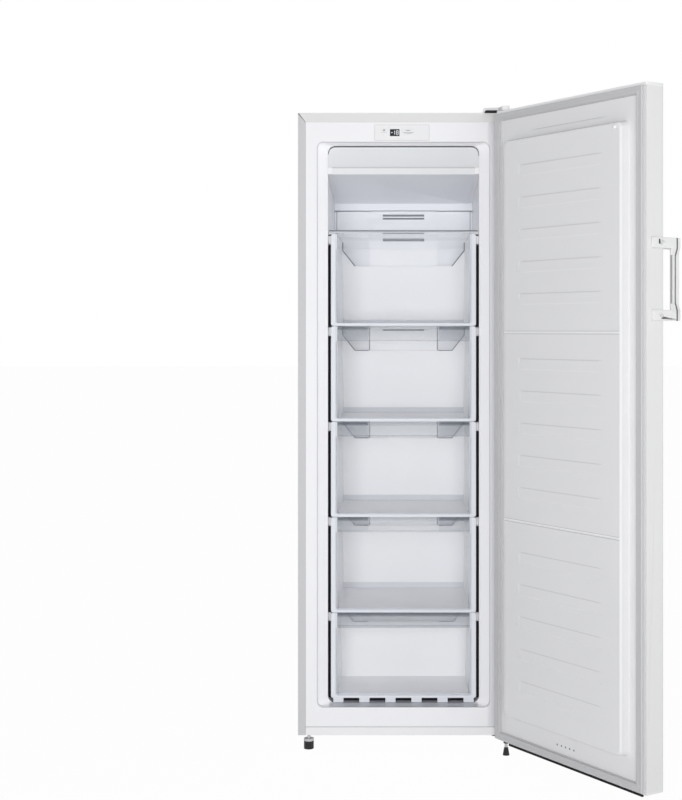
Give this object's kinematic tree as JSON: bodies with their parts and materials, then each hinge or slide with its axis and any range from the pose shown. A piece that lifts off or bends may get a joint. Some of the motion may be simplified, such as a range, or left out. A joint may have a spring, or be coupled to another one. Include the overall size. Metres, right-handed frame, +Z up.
{
  "type": "upright freezer",
  "caption": "Tall insulated cabinet with one side-hinged door on an edge-mounted pull handle, clear sliding drawers, a glass shelf, a small control panel and a fan-cooled evaporator.",
  "frame": {"origin": "on the floor, under the middle of the carcass's width and depth", "axes": "+X to the right as seen from the front, +Y to the back, +Z up"},
  "size_m": [0.9185, 1.0059, 1.687],
  "materials": {
    "white_steel": "gloss",
    "zinc_steel": "satin",
    "white_plastic": "satin",
    "liner_plastic": "satin",
    "foam": "matte",
    "bare_aluminium": "satin",
    "copper": "satin",
    "clear_plastic": "gloss",
    "shelf_glass": "gloss",
    "grey_plastic": "satin",
    "black_plastic": "satin",
    "black_window": "gloss",
    "circuit_board": "satin",
    "black_paint": "satin",
    "seal_rubber": "matte",
    "black_rubber": "matte"
  },
  "bodies": {
    "cabinet": {"side_panel_left": "white_steel", "side_panel_right": "white_steel", "top_panel": "white_steel", "back_panel": "white_steel", "floor_pan": "zinc_steel", "base_frame": "zinc_steel", "kick_panel": "white_plastic", "inner_liner": "liner_plastic", "cabinet_foam": "foam", "evaporator_cover": "white_plastic", "evaporator_tube": "bare_aluminium", "evaporator_fins": "bare_aluminium", "defrost_heater": "bare_aluminium", "fan_frame": "grey_plastic", "fan_motor": "zinc_steel", "ceiling_duct": "white_plastic", "glass_shelf": "shelf_glass", "shelf_trim": "white_plastic", "drawer_runners": "white_plastic", "control_bezel": "white_plastic", "display_window": "black_window", "control_board": "circuit_board", "compressor": "black_paint", "compressor_mounts": "black_rubber", "condenser_tube": "copper", "filter_drier": "copper", "drip_tray": "grey_plastic", "drain_tube": "grey_plastic", "compressor_cover": "zinc_steel", "cord_inlet": "black_rubber", "top_hinge": "zinc_steel", "top_hinge_cover": "white_plastic", "bottom_hinge": "zinc_steel", "hinge_screws": "zinc_steel", "rear_feet": "black_plastic"},
    "door": {"door_skin": "white_steel", "door_top_cap": "white_plastic", "door_bottom_cap": "black_plastic", "door_liner": "liner_plastic", "door_foam": "foam", "door_gasket": "seal_rubber", "door_bushings": "grey_plastic", "handle_bar": "white_plastic", "handle_mounts": "white_plastic", "handle_screws": "zinc_steel"},
    "fan": {"fan_blade": "black_plastic"},
    "freeze_button": {"button_freeze": "white_plastic"},
    "set_button": {"button_set": "white_plastic"},
    "left_foot": {"front_foot_left": "black_plastic"},
    "right_foot": {"front_foot_right": "black_plastic"},
    "drawer_1": {"drawer_bin_1": "clear_plastic", "drawer_front_1": "clear_plastic"},
    "drawer_2": {"drawer_bin_2": "clear_plastic", "drawer_front_2": "clear_plastic"},
    "drawer_3": {"drawer_bin_3": "clear_plastic", "drawer_front_3": "clear_plastic"},
    "drawer_4": {"drawer_bin_4": "clear_plastic", "drawer_front_4": "clear_plastic"},
    "drawer_5": {"drawer_bin_5": "clear_plastic", "drawer_front_5": "clear_plastic"}
  },
  "joints": [
    {"name": "door_hinge", "type": "hinge", "parent": "cabinet", "child": "door", "pos_m": [0.267, -0.285, 0.85], "axis": [0, 0, 1], "range_deg": [-124.2, 10.8]},
    {"name": "drawer_1_slide", "type": "slide", "parent": "cabinet", "child": "drawer_1", "axis": [0, -1, 0], "range_m": [0, 0.26]},
    {"name": "drawer_2_slide", "type": "slide", "parent": "cabinet", "child": "drawer_2", "axis": [0, -1, 0], "range_m": [0, 0.26]},
    {"name": "drawer_3_slide", "type": "slide", "parent": "cabinet", "child": "drawer_3", "axis": [0, -1, 0], "range_m": [0, 0.26]},
    {"name": "drawer_4_slide", "type": "slide", "parent": "cabinet", "child": "drawer_4", "axis": [0, -1, 0], "range_m": [0, 0.26]},
    {"name": "drawer_5_slide", "type": "slide", "parent": "cabinet", "child": "drawer_5", "axis": [0, -1, 0], "range_m": [0, 0.15]},
    {"name": "fan_spin", "type": "hinge", "parent": "cabinet", "child": "fan", "pos_m": [0, 0.1605, 1.401], "axis": [0, 1, 0], "continuous": true},
    {"name": "freeze_button_press", "type": "slide", "parent": "cabinet", "child": "freeze_button", "axis": [0, 1, 0], "range_m": [0, 0.001], "stiffness_N_per_m": 300},
    {"name": "set_button_press", "type": "slide", "parent": "cabinet", "child": "set_button", "axis": [0, 1, 0], "range_m": [0, 0.001], "stiffness_N_per_m": 300},
    {"name": "left_foot_turn", "type": "hinge", "parent": "cabinet", "child": "left_foot", "pos_m": [-0.25, -0.225, 0.03], "axis": [0, 0, 1], "continuous": true},
    {"name": "right_foot_turn", "type": "hinge", "parent": "cabinet", "child": "right_foot", "pos_m": [0.267, -0.285, 0.03], "axis": [0, 0, 1], "continuous": true}
  ]
}
